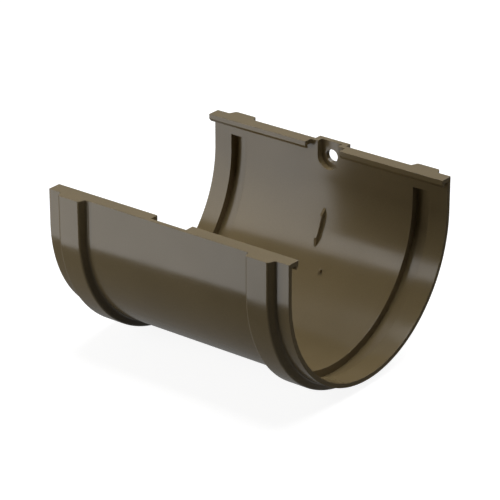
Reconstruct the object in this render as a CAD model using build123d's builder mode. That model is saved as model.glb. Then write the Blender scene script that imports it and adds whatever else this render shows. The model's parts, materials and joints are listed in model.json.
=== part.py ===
from build123d import *

import os
from math import cos, radians, sin

# Half-round gutter connector: a short trough, moulded in one piece, that joins two lengths of
# gutter. Millimetres. The origin is on the ground below the middle of the part. X runs along
# the gutter, Y across it with the fixing boss on the +Y side, and Z is up.

# Trough
length = 150.0            # along the gutter
outer_width = 136.0       # over the plain side walls
side_height = 19.2        # straight side wall above the half round
wall = 2.5

# Gasket beads, one near each end: raised outside, with a channel inside for the gasket
bead_inset = 16.1         # from the end face to the middle of the bead
bead_height = 4.0
bead_crown_width = 13.4   # before its corners are rounded
bead_root_width = 16.2    # before its corners are rounded
bead_radius = 1.5         # at the crown and at the root
crown_wall = 2.0          # outside the channel
channel_width = 10.0
channel_land = 10.6       # plain wall left between the top of the rim and the channel

# Rims, turned in over the trough to hook over the edge of the gutter
rim_width = 7.6           # from the outside of the wall
rim_thickness = 2.5
rim_gap = 22.0            # stretch in the middle of the part that has no rim
lip_thickness = 2.2
lip_drop = 4.3            # from the top of the rim to the tip of the lip
lip_tip = 0.9             # width of the flat at the tip
lip_slope = 1.7           # height of the sloping face above the tip

# Fixing boss on the back of the rear wall, open at the top, with a pocket for the screw's head
pocket_radius = 6.5
pocket_depth = 3.7        # from the inside of the wall
boss_wall = 3.3           # round the pocket
boss_plate = 2.8          # behind the pocket
hole_diameter = 7.2
hole_below_rim = 8.3

# Rib inside the rear wall that marks the middle. Its angles are degrees round the trough,
# counted down from the top of the half round, at the foot and at the crest.
rib_thickness = 1.5
rib_height = 2.45
rib_foot_from = 14.7
rib_foot_to = 33.3
rib_crest_from = 18.5
rib_crest_to = 29.3

# Stub left by the moulding gate
gate_diameter = 1.6
gate_height = 0.9
gate_x = 9.4
gate_angle = 42.7

# Worked out from the sizes above
outer_radius = outer_width / 2
inner_radius = outer_radius - wall
crown_radius = outer_radius + bead_height
channel_radius = crown_radius - crown_wall
bead_x = length / 2 - bead_inset
arc_z = crown_radius                    # the crowns of the beads stand on the ground
rim_z = arc_z + side_height
channel_top = rim_z - channel_land
rim_edge = outer_radius - rim_width
lip_back = rim_edge + lip_thickness
lip_z = rim_z - lip_drop
hole_z = rim_z - hole_below_rim
pocket_floor = inner_radius + pocket_depth
boss_face = pocket_floor + boss_plate
boss_radius = pocket_radius + boss_wall
root_depth = wall / 2                   # how far an added form reaches into the wall
overcut = 1.0                           # how far a cutter reaches past the face it opens

arc_plane = Plane.XY.offset(arc_z)
arc_axis = Axis((0, 0, arc_z), (-1, 0, 0))


def on_trough(radius, angle):
    """Y and Z of a point on the rear half of the trough, at an angle down from its top."""
    return (radius * cos(radians(angle)), arc_z - radius * sin(radians(angle)))


def slot_outline(radius, top):
    """Outline that is round below the screw hole and runs straight up to a height."""
    Polyline((-radius, hole_z), (-radius, top), (radius, top), (radius, hole_z))
    CenterArc((0, hole_z), radius, 180, 180)


with BuildPart() as connector_body:
    # A quarter of the wall with its bead: one section, turned down to the middle of the
    # half round and carried straight up to the rim
    with BuildSketch(arc_plane) as wall_section:
        with BuildLine():
            Polyline(
                (0, inner_radius),
                (0, outer_radius),
                (bead_x - bead_root_width / 2, outer_radius),
                (bead_x - bead_crown_width / 2, crown_radius),
                (bead_x + bead_crown_width / 2, crown_radius),
                (bead_x + bead_root_width / 2, outer_radius),
                (length / 2, outer_radius),
                (length / 2, inner_radius),
                close=True,
            )
        make_face()
        bead_corners = wall_section.vertices().sort_by(Axis.X)[2:-2]
        fillet(bead_corners, radius=bead_radius)
    revolve(axis=arc_axis, revolution_arc=90)
    extrude(wall_section.sketch, amount=side_height)

    # The channel inside the bead stops short of the rim
    with BuildSketch(arc_plane) as channel_section:
        with Locations((bead_x, channel_radius)):
            Rectangle(
                channel_width,
                channel_radius - inner_radius + overcut,
                align=(Align.CENTER, Align.MAX),
            )
    revolve(axis=arc_axis, revolution_arc=90, mode=Mode.SUBTRACT)
    extrude(channel_section.sketch, amount=channel_top - arc_z, mode=Mode.SUBTRACT)

    # Rim with its hooked lip, from the gap in the middle to the end
    with BuildSketch(Plane.YZ.offset(rim_gap / 2)):
        with BuildLine():
            Polyline(
                (inner_radius + root_depth, rim_z),
                (rim_edge, rim_z),
                (rim_edge, lip_z + lip_slope),
                (lip_back - lip_tip, lip_z),
                (lip_back, lip_z),
                (lip_back, rim_z - rim_thickness),
                (inner_radius + root_depth, rim_z - rim_thickness),
                close=True,
            )
        make_face()
    extrude(amount=(length - rim_gap) / 2)

    mirror(about=Plane.XZ)
    mirror(about=Plane.YZ)

    # Boss, pocket and screw hole
    with BuildSketch(Plane.XZ.offset(-boss_face)):
        with BuildLine():
            slot_outline(boss_radius, rim_z)
        make_face()
    extrude(amount=boss_face - inner_radius - root_depth)
    with BuildSketch(Plane.XZ.offset(-pocket_floor)):
        with BuildLine():
            slot_outline(pocket_radius, rim_z + overcut)
        make_face()
    extrude(amount=pocket_depth + overcut, mode=Mode.SUBTRACT)
    with Locations(Plane(origin=(0, boss_face, hole_z), z_dir=(0, 1, 0))):
        Hole(hole_diameter / 2, depth=boss_plate + overcut)

    # Middle rib, with a crest that follows the trough and ends that slope down to it
    with BuildSketch(Plane.YZ.offset(-rib_thickness / 2)):
        with BuildLine():
            crest = CenterArc(
                (0, arc_z),
                inner_radius - rib_height,
                -rib_crest_from,
                rib_crest_from - rib_crest_to,
            )
            root = CenterArc(
                (0, arc_z),
                inner_radius + root_depth,
                -rib_foot_from,
                rib_foot_from - rib_foot_to,
            )
            Polyline(crest @ 0, on_trough(inner_radius, rib_foot_from), root @ 0)
            Polyline(crest @ 1, on_trough(inner_radius, rib_foot_to), root @ 1)
        make_face()
    extrude(amount=rib_thickness)

    # Gate stub, square to the wall
    gate_plane = Plane(
        origin=(gate_x, *on_trough(inner_radius + root_depth, gate_angle)),
        x_dir=(1, 0, 0),
        z_dir=(0, -cos(radians(gate_angle)), sin(radians(gate_angle))),
    )
    with BuildSketch(gate_plane):
        Circle(gate_diameter / 2)
    extrude(amount=root_depth + gate_height)

connector_body.part.label = "connector_body"

os.makedirs("parts", exist_ok=True)
export_step(connector_body.part, "parts/connector_body.step")
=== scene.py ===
# %% [markdown]
# # A gutter connector in moulded PVC
#
# A gutter connector is the short trough that joins two lengths of half-round rain gutter. Each
# length is pushed in from one end, its edges snap under the hooked rims, and rubber gaskets in
# the two hollow beads keep the joint tight. The whole thing is one injection moulding, so it is
# one mesh here too. This notebook builds it in the order in which a mould maker would think of
# it: the shell, the channels inside the beads, the rims, then the small features.

# %% Load the frame
import json
import math

import bmesh
import bpy
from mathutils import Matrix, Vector


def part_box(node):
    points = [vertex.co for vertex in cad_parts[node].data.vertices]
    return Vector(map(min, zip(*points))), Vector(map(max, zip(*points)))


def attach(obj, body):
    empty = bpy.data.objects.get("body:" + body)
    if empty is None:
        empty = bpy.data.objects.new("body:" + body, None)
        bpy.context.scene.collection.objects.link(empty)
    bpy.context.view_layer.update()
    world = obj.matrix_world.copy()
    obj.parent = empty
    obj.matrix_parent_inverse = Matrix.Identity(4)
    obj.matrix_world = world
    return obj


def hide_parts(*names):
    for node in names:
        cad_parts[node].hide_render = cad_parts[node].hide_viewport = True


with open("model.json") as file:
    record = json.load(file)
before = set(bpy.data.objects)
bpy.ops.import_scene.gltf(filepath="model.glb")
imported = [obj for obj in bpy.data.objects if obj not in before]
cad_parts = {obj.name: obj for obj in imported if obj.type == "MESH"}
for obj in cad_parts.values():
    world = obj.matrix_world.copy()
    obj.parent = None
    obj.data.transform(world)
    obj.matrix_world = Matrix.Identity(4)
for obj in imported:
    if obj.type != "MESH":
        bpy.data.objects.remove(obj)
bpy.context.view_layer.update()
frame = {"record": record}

# %% [markdown]
# ## Sizes
#
# Everything hangs on a few driving sizes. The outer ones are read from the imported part, so the
# looks can't drift away from the construction: its box gives the length, the radius over the
# beads and the height of the rims, and its record gives the screw hole. Only the wall's own
# details are written here, in real millimetres.

# %% Sizes of the moulding
MM = 0.001

low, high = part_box("connector_body")
mounts = {mount["name"]: mount for mount in frame["record"]["mounts"]}
screw_hole = mounts["screw_hole"]

length = high.x - low.x
crown_radius = high.y
arc_z = crown_radius              # the crowns of the beads stand on the ground
rim_z = high.z
hole_z = screw_hole["pos_m"][2]
hole_radius = screw_hole["dims"]["r_mm"] * MM

wall = 2.5 * MM
bead_height = 4.0 * MM
bead_inset = 16.1 * MM            # from the end to the middle of a bead
bead_crown_width = 13.4 * MM
bead_root_width = 16.2 * MM
bead_radius = 1.5 * MM
channel_width = 10.0 * MM
channel_land = 10.6 * MM          # plain wall between the top of the rim and the channel
crown_wall = 2.0 * MM             # outside a channel
edge_radius = 0.15 * MM           # what a mould leaves on a sharp edge

outer_radius = crown_radius - bead_height
inner_radius = outer_radius - wall
bead_x = length / 2 - bead_inset
overlap = wall / 2                # how far a joined form reaches into the wall
overcut = 1.0 * MM                # how far a form reaches past the face where it is cut
print("outer radius", round(outer_radius / MM, 2), "mm, rim at", round(rim_z / MM, 2), "mm")

# %% [markdown]
# ## One helper for nodes, one for meshes
#
# Geometry Nodes and materials are both node trees, so one small function serves both: it adds a
# node, applies its settings, and fills or links its inputs. The second helper lays a flat
# outline out as a closed prism, which is how most small features of a moulding begin.

# %% Helpers
def add_node(tree, kind, inputs=None, **settings):
    """A new node with its settings. An input is given by name or number, as a value or a socket."""
    node = tree.nodes.new(kind)
    for name, value in settings.items():
        setattr(node, name, value)
    for name, value in (inputs or {}).items():
        if isinstance(value, bpy.types.NodeSocket):
            tree.links.new(value, node.inputs[name])
        else:
            node.inputs[name].default_value = value
    return node


def new_object(name, mesh):
    made = bpy.data.objects.new(name, mesh)
    bpy.context.scene.collection.objects.link(made)
    return made


def mesh_from(name, vertices, edges=(), faces=()):
    mesh = bpy.data.meshes.new(name)
    mesh.from_pydata(vertices, edges, faces)
    return new_object(name, mesh)


def outward_normals(mesh):
    """Merges doubled corners and turns every face outwards."""
    work = bmesh.new()
    work.from_mesh(mesh)
    bmesh.ops.remove_doubles(work, verts=work.verts, dist=0.001 * MM)
    bmesh.ops.recalc_face_normals(work, faces=work.faces)
    work.to_mesh(mesh)
    work.free()


def prism(name, outline, place, near, far):
    """A closed block: a flat outline (u, v), laid out by place(u, v, depth) from near to far."""
    count = len(outline)
    vertices = [place(u, v, near) for u, v in outline] + [place(u, v, far) for u, v in outline]
    sides = [(i, (i + 1) % count, (i + 1) % count + count, i + count) for i in range(count)]
    ends = [tuple(range(count)), tuple(range(count, 2 * count))]
    made = mesh_from(name, vertices, faces=[*ends, *sides])
    outward_normals(made.data)
    return made


def applied(source):
    """The object's evaluated shape as a plain mesh on the same object, with no modifier left."""
    graph = bpy.context.evaluated_depsgraph_get()
    mesh = bpy.data.meshes.new_from_object(source.evaluated_get(graph))
    source.modifiers.clear()
    source.data = mesh
    return source


# %% [markdown]
# ## The sections
#
# The shell is the same section all the way round: a wall with two hollow beads in it. Its
# corners are listed once, and each rounded corner becomes an arc tangent to its two sides. The
# section could be a curve object too, but an outline of edges is easier to compute and to check.

# %% Rounded outlines
def rounded(corners, steps=7):
    """Corners (x, y, radius) as outline points, with an arc of that radius at each corner."""
    points = []
    for i, (x, y, radius) in enumerate(corners):
        here = Vector((x, y))
        if radius == 0:
            points.append(here)
            continue
        before = (Vector(corners[i - 1][:2]) - here).normalized()
        after = (Vector(corners[(i + 1) % len(corners)][:2]) - here).normalized()
        half = before.angle(after) / 2
        centre = here + (before + after).normalized() * radius / math.sin(half)
        start = here + before * radius / math.tan(half) - centre
        turn = start.angle_signed(here + after * radius / math.tan(half) - centre)
        for k in range(steps + 1):
            angle = -turn * k / steps
            spoke = Vector((
                start.x * math.cos(angle) - start.y * math.sin(angle),
                start.x * math.sin(angle) + start.y * math.cos(angle),
            ))
            points.append(centre + spoke)
    return points


def section_object(name, *outlines):
    """Closed loops of edges, for Geometry Nodes to sweep."""
    vertices, edges = [], []
    for outline in outlines:
        first, count = len(vertices), len(outline)
        vertices += [(point[0], point[1], 0) for point in outline]
        edges += [(first + i, first + (i + 1) % count) for i in range(count)]
    made = mesh_from(name, vertices, edges=edges)
    made.hide_render = True
    return made


half_length = length / 2
long_half = half_length + overcut
right_bead = [
    (bead_x - bead_root_width / 2, 0, bead_radius),
    (bead_x - bead_crown_width / 2, bead_height, bead_radius),
    (bead_x + bead_crown_width / 2, bead_height, bead_radius),
    (bead_x + bead_root_width / 2, 0, bead_radius),
]
left_bead = [(-x, y, radius) for x, y, radius in reversed(right_bead)]
wall_corners = [
    (-long_half, 0, 0), *left_bead, *right_bead, (long_half, 0, 0),
    (long_half, -wall, 0), (-long_half, -wall, 0),
]
wall_section = section_object("wall_section", rounded(wall_corners))

channel_floor = bead_height - crown_wall
channel_left = bead_x - channel_width / 2
channel_right = bead_x + channel_width / 2
right_channel = [
    (channel_left, channel_floor), (channel_right, channel_floor),
    (channel_right, -wall - overcut), (channel_left, -wall - overcut),
]
left_channel = [(-x, y) for x, y in right_channel]
channel_section = section_object("channel_section", left_channel, right_channel)
print("points in the wall's section:", len(wall_section.data.vertices))

# %% [markdown]
# ## The shell, by Geometry Nodes
#
# The shell follows a rule: one section, carried down a straight side, round a half circle and up
# the other side. A curve could be drawn by hand for that path, but a rule is exact. Each point of
# the path has a number, and the number gives its place: the first and the last stand on top of
# the straight sides, and the others lie evenly on the half circle.
#
# The same tree sweeps the gasket channels, with another section and a lower end, so they stay
# parallel to the shell whatever the sizes are.

# %% The sweep tree
def tree_with(name, sockets):
    """An empty Geometry Nodes tree with a geometry output and the named inputs."""
    tree = bpy.data.node_groups.new(name, "GeometryNodeTree")
    tree.interface.new_socket("Geometry", in_out="OUTPUT", socket_type="NodeSocketGeometry")
    for socket, kind in sockets.items():
        tree.interface.new_socket(socket, in_out="INPUT", socket_type=f"NodeSocket{kind}")
    return tree, tree.nodes.new("NodeGroupInput").outputs


def math_node(tree, operation, a, b=0.0):
    """One step of arithmetic in a tree."""
    return add_node(tree, "ShaderNodeMath", {0: a, 1: b}, operation=operation).outputs[0]


def close_tree(tree, geometry, material):
    """Ends a tree as the export needs it: real geometry with its material."""
    real = add_node(tree, "GeometryNodeRealizeInstances", {"Geometry": geometry})
    coated = add_node(tree, "GeometryNodeSetMaterial", {
        "Geometry": real.outputs["Geometry"], "Material": material,
    })
    add_node(tree, "NodeGroupOutput", {0: coated.outputs["Geometry"]})
    return tree


def sweep_tree():
    """Sweeps a section round the trough, from one rim down and up to the other."""
    tree, given = tree_with("Sweep round the trough", {
        "Section": "Object", "Radius": "Float", "Centre Height": "Float",
        "Top Height": "Float", "Steps": "Int", "Material": "Material",
    })
    count = math_node(tree, "ADD", given["Steps"], 3.0)
    index = add_node(tree, "GeometryNodeInputIndex").outputs[0]
    share = math_node(tree, "DIVIDE", math_node(tree, "SUBTRACT", index, 1.0), given["Steps"])
    clamped = add_node(tree, "ShaderNodeClamp", {"Value": share}).outputs[0]
    angle = math_node(tree, "MULTIPLY", clamped, math.pi)
    across = math_node(tree, "MULTIPLY", math_node(tree, "COSINE", angle), given["Radius"])
    down = math_node(tree, "MULTIPLY", math_node(tree, "SINE", angle), given["Radius"])
    inside = math_node(tree, "COMPARE", share, 0.5)
    inside.node.inputs[2].default_value = 0.5 + 1e-4
    side = math_node(tree, "SUBTRACT", given["Top Height"], given["Centre Height"])
    lift = math_node(tree, "MULTIPLY", math_node(tree, "SUBTRACT", 1.0, inside), side)
    up = math_node(tree, "SUBTRACT", math_node(tree, "ADD", given["Centre Height"], lift), down)
    place = add_node(tree, "ShaderNodeCombineXYZ", {
        "Y": math_node(tree, "MULTIPLY", across, -1.0), "Z": up,
    })
    line = add_node(tree, "GeometryNodeMeshLine", {"Count": count})
    path = add_node(tree, "GeometryNodeMeshToCurve", {"Mesh": line.outputs["Mesh"]})
    bent = add_node(tree, "GeometryNodeSetPosition", {
        "Geometry": path.outputs["Curve"], "Position": place.outputs["Vector"],
    })
    section = add_node(tree, "GeometryNodeObjectInfo", {"Object": given["Section"]})
    outline = add_node(tree, "GeometryNodeMeshToCurve", {"Mesh": section.outputs["Geometry"]})
    swept = add_node(tree, "GeometryNodeCurveToMesh", {
        "Curve": bent.outputs["Geometry"], "Profile Curve": outline.outputs["Curve"],
        "Fill Caps": True,
    })
    return close_tree(tree, swept.outputs["Mesh"], given["Material"])


def grown(name, tree, values):
    """A mesh grown by a tree with these input values."""
    made = new_object(name, bpy.data.meshes.new(name))
    modifier = made.modifiers.new("grow", "NODES")
    modifier.node_group = tree
    for socket in tree.interface.items_tree:
        if socket.in_out == "INPUT" and socket.name in values:
            modifier[socket.identifier] = values[socket.name]
    applied(made)
    outward_normals(made.data)
    return made


# %% [markdown]
# ## The finish: moulded PVC
#
# The connector is unplasticised PVC, coloured all through and injection moulded against steel
# that was polished and then lightly etched. To the eye that is an olive brown body with a soft
# gloss: lamps show as bright areas with slightly blurred edges, never as sharp mirror images.
# The finish could be one colour with one roughness, but a moulding isn't that even. Four real
# things are added: the colour drifts a little where the melt cooled last, pigment leaves a fine
# speckle, the gloss is uneven where the steel was polished by hand, and the etched grain bends
# the light a little. Wear and dirt are left out, because the part is new.

# %% The PVC material
def linear(hex_colour):
    """A colour written as sRGB hex, as the linear values that a shader wants."""
    channels = [int(hex_colour[i:i + 2], 16) / 255 for i in (1, 3, 5)]
    return (*[c / 12.92 if c <= 0.04045 else ((c + 0.055) / 1.055) ** 2.4 for c in channels], 1.0)


def noise(tree, where, size_mm, detail=2.0):
    """Noise whose blobs are about this many millimetres across."""
    return add_node(tree, "ShaderNodeTexNoise", {
        "Vector": where, "Scale": 1 / (size_mm * MM), "Detail": detail,
    }).outputs["Fac"]


def mixed(tree, share, first, second):
    """A colour between two others."""
    node = add_node(tree, "ShaderNodeMix", {"Factor": share}, data_type="RGBA")
    for socket, value in ((node.inputs[6], first), (node.inputs[7], second)):
        if isinstance(value, bpy.types.NodeSocket):
            tree.links.new(value, socket)
        else:
            socket.default_value = value
    return node.outputs[2]


def ramp(tree, value, start, end, low_value, high_value):
    """A value that runs from one number to another between two places."""
    return add_node(tree, "ShaderNodeMapRange", {
        "Value": value, "From Min": start, "From Max": end,
        "To Min": low_value, "To Max": high_value,
    }).outputs["Result"]


def ranged(tree, value, low_value, high_value):
    """Noise, which stays near its middle, spread over a range."""
    return ramp(tree, value, 0.3, 0.7, low_value, high_value)


def moulded_pvc():
    """Olive brown uPVC with the soft gloss of a lightly etched mould."""
    material = bpy.data.materials.new("moulded_pvc")
    material.use_nodes = True
    tree = material.node_tree
    shader = tree.nodes["Principled BSDF"]
    where = add_node(tree, "ShaderNodeTexCoord").outputs["Object"]

    drift = ranged(tree, noise(tree, where, 45.0), 0.0, 1.0)
    body = mixed(tree, drift, linear("#796A4C"), linear("#807051"))
    speckle = ranged(tree, noise(tree, where, 0.5), 0.0, 0.20)
    tree.links.new(mixed(tree, speckle, body, linear("#5F563F")), shader.inputs["Base Color"])

    # uPVC has an IOR of 1.53, and this gloss reads as a roughness of about 0.17
    shader.inputs["IOR"].default_value = 1.53
    gloss = ranged(tree, noise(tree, where, 18.0), 0.15, 0.19)
    tree.links.new(gloss, shader.inputs["Roughness"])

    # The etched grain is about 0.1 mm wide on the real part, which no render would show. It is
    # drawn 0.6 mm wide and a hundredth of a millimetre deep.
    grain = noise(tree, where, 0.6, detail=3.0)
    bump = add_node(tree, "ShaderNodeBump", {
        "Height": grain, "Strength": 0.35, "Distance": 0.01 * MM,
    })
    tree.links.new(bump.outputs["Normal"], shader.inputs["Normal"])
    return material


pvc = moulded_pvc()
print("material", pvc.name, "with", len(pvc.node_tree.nodes), "nodes")

# %% [markdown]
# ## The shell and its gasket channels
#
# The shell is swept solid first. The channels are swept on their own and cut out of it, because
# they stop short of the rims: a single hollow section would carry them to the top. The shell is
# made a little too long and too high. All that joins it is too, by another amount, and one cut
# trims the lot flat: two faces that lie in one plane confuse any joining of solids.

# %% Sweep the shell, cut the channels
ARC_STEPS = 120

def joined(target, tool, operation):
    """Adds the tool to the target or cuts it out, as clean solids, and removes the tool."""
    modifier = target.modifiers.new(operation.lower(), "BOOLEAN")
    modifier.operation = operation
    modifier.solver = "MANIFOLD"
    modifier.object = tool
    applied(target)
    bpy.data.objects.remove(tool)
    return target


around = sweep_tree()
sweep_values = {
    "Radius": outer_radius, "Centre Height": arc_z, "Top Height": rim_z + overcut,
    "Steps": ARC_STEPS, "Material": pvc,
}
shell = grown("connector", around, {**sweep_values, "Section": wall_section})
channel_values = {"Section": channel_section, "Top Height": rim_z - channel_land}
channels = grown("channels", around, {**sweep_values, **channel_values})
joined(shell, channels, "DIFFERENCE")
print("faces after the channels:", len(shell.data.polygons))

# %% [markdown]
# ## The hooked rims
#
# Each rim is a flat flange turned in over the trough, with a lip that hooks down. The gutter's
# edge snaps into the space behind the lip. The lip's lower corner slopes on the trough side, so
# that the gutter's edge can slide past it. Both rims are cut away for 22 mm in the middle, where
# the gutters' ends meet. One length of rim is swept along a straight line, and the tree mirrors
# it to the four quarters.

# %% Rims by Geometry Nodes
rim_width = 7.6 * MM
rim_thickness = 2.5 * MM
rim_gap = 22.0 * MM
lip_thickness = 2.2 * MM
lip_drop = 4.3 * MM
lip_tip = 0.9 * MM
lip_slope = 1.7 * MM

rim_root = inner_radius + overlap
rim_edge = outer_radius - rim_width
lip_back = rim_edge + lip_thickness
lip_z = rim_z - lip_drop
rim_top = rim_z + 2 * overcut
rim_section = section_object("rim_section", [
    (rim_root, rim_top), (rim_edge, rim_top), (rim_edge, lip_z + lip_slope),
    (lip_back - lip_tip, lip_z), (lip_back, lip_z),
    (lip_back, rim_z - rim_thickness), (rim_root, rim_z - rim_thickness),
])


def rim_tree():
    """One length of rim swept along X, and its mirror images in the other three quarters."""
    tree, given = tree_with("Four lengths of rim", {
        "Section": "Object", "Gap": "Float", "Length": "Float", "Material": "Material",
    })
    ends = []
    for size in (given["Gap"], given["Length"]):
        half = math_node(tree, "DIVIDE", size, 2.0)
        ends.append(add_node(tree, "ShaderNodeCombineXYZ", {"X": half}).outputs["Vector"])
    line = add_node(tree, "GeometryNodeCurvePrimitiveLine", {"Start": ends[0], "End": ends[1]})
    section = add_node(tree, "GeometryNodeObjectInfo", {"Object": given["Section"]})
    outline = add_node(tree, "GeometryNodeMeshToCurve", {"Mesh": section.outputs["Geometry"]})
    quarter = add_node(tree, "GeometryNodeCurveToMesh", {
        "Curve": line.outputs["Curve"], "Profile Curve": outline.outputs["Curve"],
        "Fill Caps": True,
    })
    # a sweep along X lays the outline's second axis downwards, so it is also mirrored in Z
    everything = tree.nodes.new("GeometryNodeJoinGeometry")
    for scale in ((1, 1, -1), (-1, 1, -1), (1, -1, -1), (-1, -1, -1)):
        turned = add_node(tree, "GeometryNodeTransform", {
            "Geometry": quarter.outputs["Mesh"], "Scale": scale,
        })
        tree.links.new(turned.outputs["Geometry"], everything.inputs["Geometry"])
    return close_tree(tree, everything.outputs["Geometry"], given["Material"])


rims = grown("rims", rim_tree(), {
    "Section": rim_section, "Gap": rim_gap, "Length": length + 4 * overcut, "Material": pvc,
})
rim_low = [round(min(v.co[i] for v in rims.data.vertices) / MM, 2) for i in range(3)]
rim_high = [round(max(v.co[i] for v in rims.data.vertices) / MM, 2) for i in range(3)]
print("rims reach from", rim_low, "to", rim_high)
joined(shell, rims, "UNION")

# %% [markdown]
# ## The fixing boss
#
# A screw through the back wall holds the connector to the fascia board. The wall bulges out
# there into a boss, so that the screw's head can sink into a pocket and doesn't stand in the
# gutter's way. Both outlines are a U: round under the hole and straight up to the rim, because
# the pocket is open at the top for the screwdriver and for the mould. A boss could be a few
# loops pushed out of the shell by hand, but solids added and cut stay true to their sizes.

# %% Boss, pocket and screw hole
pocket_radius = 6.5 * MM
pocket_depth = 3.7 * MM
boss_wall = 3.3 * MM
boss_plate = 2.8 * MM

pocket_floor = inner_radius + pocket_depth
boss_face = pocket_floor + boss_plate


def arc(centre, radius, start, turn, steps):
    """Points on an arc, angles in degrees."""
    angles = [math.radians(start + turn * k / steps) for k in range(steps + 1)]
    return [(centre[0] + radius * math.cos(a), centre[1] + radius * math.sin(a)) for a in angles]


def slot_outline(radius, top):
    """Round below the screw hole, straight up to a height."""
    return [(-radius, top), *arc((0, hole_z), radius, 180, 180, 36), (radius, top)]


def across_wall(u, v, depth):
    return (u, depth, v)


boss = prism("boss", slot_outline(pocket_radius + boss_wall, rim_z + 3 * overcut), across_wall,
             inner_radius + overlap, boss_face)
kept = [
    (-half_length, -overcut), (half_length, -overcut), (half_length, rim_z), (-half_length, rim_z),
]
trim = prism("trim", kept, across_wall, -crown_radius - overcut, crown_radius + overcut)
pocket = prism("pocket", slot_outline(pocket_radius, rim_z + overcut), across_wall,
               inner_radius - overcut, pocket_floor)
hole = prism("hole", arc((0, hole_z), hole_radius, 0, 360, 48)[:-1], across_wall,
             pocket_floor - overcut, boss_face + overcut)
joined(shell, boss, "UNION")
joined(shell, trim, "INTERSECT")
joined(shell, pocket, "DIFFERENCE")
joined(shell, hole, "DIFFERENCE")
print("hole radius", round(hole_radius / MM, 2), "mm at", round(hole_z / MM, 2), "mm up")

# %% [markdown]
# ## The middle rib and the gate stub
#
# A thin rib inside the back wall marks the middle: the gutters are pushed in as far as it. Its
# crest follows the trough, and its ends slope down into the wall. Beside it stands the stub that
# is left where the runner was snapped off, square to the wall. It is drawn a little taller and
# lower than in the solid, as the photograph shows it.

# %% Rib and gate stub
rib_thickness = 1.5 * MM
rib_height = 2.45 * MM
rib_foot = (14.7, 33.3)           # degrees down from the top of the half round
rib_crest = (18.5, 29.3)
gate_radius = 0.8 * MM
gate_height = 2.0 * MM            # 0.9 mm in the solid
gate_x = 9.4 * MM
gate_angle = 43.2                 # degrees, counted as for the rib; 42.7 in the solid


def along_wall(u, v, depth):
    return (depth, u, v)


arc_centre = (0, arc_z)
rib_outline = [
    *arc(arc_centre, inner_radius + overlap, -rib_foot[0], rib_foot[0] - rib_foot[1], 12),
    arc(arc_centre, inner_radius, -rib_foot[1], 0, 1)[0],
    *arc(arc_centre, inner_radius - rib_height, -rib_crest[1], rib_crest[1] - rib_crest[0], 12),
    arc(arc_centre, inner_radius, -rib_foot[0], 0, 1)[0],
]
rib = prism("rib", rib_outline, along_wall, -rib_thickness / 2, rib_thickness / 2)

gate_down = Vector((0, math.cos(math.radians(gate_angle)), -math.sin(math.radians(gate_angle))))
gate_across = Vector((0, -gate_down.z, gate_down.y))


def square_to_wall(u, v, radius):
    centre = Vector((gate_x, 0, arc_z)) + gate_down * radius
    return centre + Vector((u, 0, 0)) + gate_across * v


gate = prism("gate", arc((0, 0), gate_radius, 0, 360, 24)[:-1], square_to_wall,
             inner_radius - gate_height, inner_radius + overlap)
joined(shell, rib, "UNION")
joined(shell, gate, "UNION")
print("faces with all features:", len(shell.data.polygons))

# %% [markdown]
# ## Edges
#
# A moulding has no knife edges: its outer corners are rounded by a tenth or two of a millimetre.
# Those radii catch a thin line of light, and without them a render looks cut from card. Flat
# faces are first freed of the leftover cuts between them. Then each edge that stands out by more
# than 20 degrees gets a weight, for a Bevel to round, and each one that folds inwards is marked
# sharp instead: it lies in shade, and rounding both kinds where they meet would tear the mesh.
# Weighted Normals keep the broad faces flat in the shading.

# %% Round the edges
SHARP = math.radians(20)


def cleaned(mesh):
    """Dissolves cuts within flat faces, then weights the outer edges and marks the inner ones."""
    work = bmesh.new()
    work.from_mesh(mesh)
    bmesh.ops.remove_doubles(work, verts=work.verts, dist=0.002 * MM)
    bmesh.ops.dissolve_limit(
        work, angle_limit=math.radians(0.2), verts=work.verts, edges=work.edges,
    )
    rounding = work.edges.layers.float.new("bevel_weight_edge")
    for edge in work.edges:
        turn = edge.calc_face_angle_signed()
        edge[rounding] = float(turn > SHARP)
        edge.smooth = turn > -SHARP
    open_edges = sum(not edge.is_manifold for edge in work.edges)
    volume = work.calc_volume()
    work.to_mesh(mesh)
    work.free()
    return open_edges, volume


open_edges, volume = cleaned(shell.data)
print("open edges:", open_edges, "volume in cubic cm:", round(volume * 1e6, 2))

bevel = shell.modifiers.new("edges", "BEVEL")
bevel.width = edge_radius
bevel.segments = 3
bevel.limit_method = "WEIGHT"
bevel.use_clamp_overlap = False
for polygon in shell.data.polygons:
    polygon.use_smooth = True
weights = shell.modifiers.new("flats", "WEIGHTED_NORMAL")
weights.keep_sharp = True
applied(shell)
print("faces when finished:", len(shell.data.polygons))

# %% Hand the moulding to the frame
for helper in (wall_section, channel_section, rim_section):
    bpy.data.objects.remove(helper)
shell.data.materials.clear()
shell.data.materials.append(pvc)
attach(shell, "root")
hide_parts("connector_body")

# %% [markdown]
# ## Floor and studio
#
# The connector stands on a plain pale floor. The lamps are softboxes, given by the brightness of
# their faces, so that a lamp that is moved or resized keeps its look in the gloss. The tall one on
# the left makes the grey sheen on the front wall and inside the rear wall, and the strip overhead
# fills the trough. Two weaker ones lift the rims from behind and the end faces from the right. The
# room around them is dark, as in a studio, because gloss shows whatever surrounds it. It is a
# little paler behind and below, which keeps the underside from going black.

# %% Floor
FLOOR_REACH = 4.0                 # metres from the middle to an edge

def seen_rays(tree):
    """One for rays that show the background: the camera's, and those in gloss and clear things."""
    path = add_node(tree, "ShaderNodeLightPath").outputs
    seen = math_node(tree, "MAXIMUM", path["Is Camera Ray"], path["Is Glossy Ray"])
    return math_node(tree, "MAXIMUM", seen, path["Is Transmission Ray"])


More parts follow.
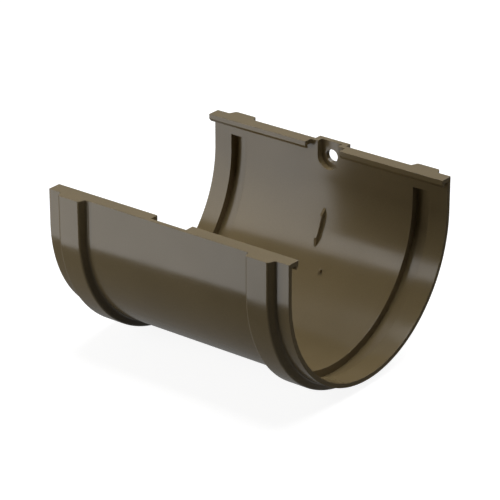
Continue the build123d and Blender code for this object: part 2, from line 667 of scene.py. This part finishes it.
def pale_floor():
    """White where it is seen, with the object's shadow on it, and a plain grey to the light."""
    material = bpy.data.materials.new("pale_floor")
    material.use_nodes = True
    tree = material.node_tree
    tree.nodes.clear()
    grey = add_node(tree, "ShaderNodeBsdfDiffuse", {"Color": linear("#707070")})
    white = add_node(tree, "ShaderNodeBsdfDiffuse", {"Color": linear("#A0A0A0")})
    glow = add_node(tree, "ShaderNodeEmission", {"Color": linear("#FFFFFF"), "Strength": 0.9})
    shown = add_node(tree, "ShaderNodeAddShader", {0: white.outputs[0], 1: glow.outputs[0]})
    both = add_node(tree, "ShaderNodeMixShader", {
        0: seen_rays(tree), 1: grey.outputs[0], 2: shown.outputs[0],
    })
    add_node(tree, "ShaderNodeOutputMaterial", {"Surface": both.outputs[0]})
    return material


corners = [(-1, -1), (1, -1), (1, 1), (-1, 1)]
floor = mesh_from("floor", [(FLOOR_REACH * x, FLOOR_REACH * y, 0) for x, y in corners],
                  faces=[(0, 1, 2, 3)])
floor.data.materials.append(pale_floor())
floor.visible_glossy = False
floor.visible_shadow = False

# %% Lamps
def softbox(name, azimuth, elevation, distance, size, brightness):
    """A lamp facing the object, in degrees and metres. A brightness of 1 is a white face."""
    a, e = math.radians(azimuth), math.radians(elevation)
    aim = Vector((math.cos(a) * math.cos(e), math.sin(a) * math.cos(e), math.sin(e)))
    light = bpy.data.lights.new(name, "AREA")
    light.shape = "RECTANGLE"
    light.size, light.size_y = size
    light.energy = brightness * math.pi * size[0] * size[1]
    lamp = bpy.data.objects.new(name, light)
    lamp.location = Vector((0, 0, arc_z)) + aim * distance
    lamp.rotation_euler = aim.to_track_quat("Z", "Y").to_euler()
    lamp.visible_camera = False
    bpy.context.scene.collection.objects.link(lamp)
    print(name, "at", [round(v, 3) for v in lamp.location])
    return lamp


softbox("left_softbox", azimuth=-128.5, elevation=1.8, distance=0.56, size=(0.34, 0.655),
        brightness=2.04)
softbox("overhead_strip", azimuth=-90, elevation=89, distance=0.8, size=(0.74, 0.27),
        brightness=6.3)
softbox("back_softbox", azimuth=85, elevation=45, distance=1.0, size=(0.8, 0.6), brightness=2.2)
softbox("right_softbox", azimuth=-8, elevation=0, distance=1.0, size=(0.6, 0.5), brightness=0.47)

# %% The world and the room
world = bpy.data.worlds.new("studio")
bpy.context.scene.world = world
world.use_nodes = True
world.node_tree.nodes.clear()
background = add_node(world.node_tree, "ShaderNodeBackground", {
    "Color": linear("#FFFFFF"), "Strength": seen_rays(world.node_tree),
})
add_node(world.node_tree, "ShaderNodeOutputWorld", {"Surface": background.outputs[0]})


ROOM_RADIUS = 6.0                 # metres

def dark_room():
    """The studio round the lamps: dark in front, a little paler behind and below."""
    bpy.ops.mesh.primitive_ico_sphere_add(subdivisions=4, radius=ROOM_RADIUS)
    room = bpy.context.object
    room.name = "dark_room"
    material = bpy.data.materials.new("dark_room")
    material.use_nodes = True
    tree = material.node_tree
    tree.nodes.clear()
    where = add_node(tree, "ShaderNodeTexCoord").outputs["Object"]
    place = add_node(tree, "ShaderNodeSeparateXYZ", {"Vector": where}).outputs
    # the brightness grows towards the back left, and again towards the ground
    backward = math_node(tree, "SUBTRACT", place["Y"], place["X"])
    backdrop = ramp(tree, backward, 0.0, 6.0, 0.0, 0.31)
    above = ramp(tree, place["Z"], -0.6, 1.2, 0.57, 1.0)
    below = ramp(tree, place["Z"], -5.4, -1.8, 0.10, 0.0)
    strength = math_node(tree, "ADD", math_node(tree, "MULTIPLY", backdrop, above), below)
    glow = add_node(tree, "ShaderNodeEmission", {"Color": linear("#FFFFFF"), "Strength": strength})
    add_node(tree, "ShaderNodeOutputMaterial", {"Surface": glow.outputs[0]})
    room.data.materials.append(material)
    room.visible_camera = False
    room.visible_shadow = False
    return room


dark_room()

# %% [markdown]
# ## Camera
#
# The camera looks down along the trough from the front right, as the photographer did: about 38
# degrees round and 24 degrees up, from more than a metre away with a long lens.

# %% Camera
camera_azimuth = 37.716
camera_elevation = 24.434
camera = bpy.data.objects.new("camera", bpy.data.cameras.new("camera"))
camera.data.sensor_width = 36.0
camera.data.lens = 191.7
camera.location = (0.7533, -0.9749, 0.6136)
camera.rotation_euler = (math.radians(90 - camera_elevation), 0, math.radians(camera_azimuth))
bpy.context.scene.collection.objects.link(camera)
bpy.context.scene.camera = camera
bpy.context.scene.view_settings.view_transform = "Standard"
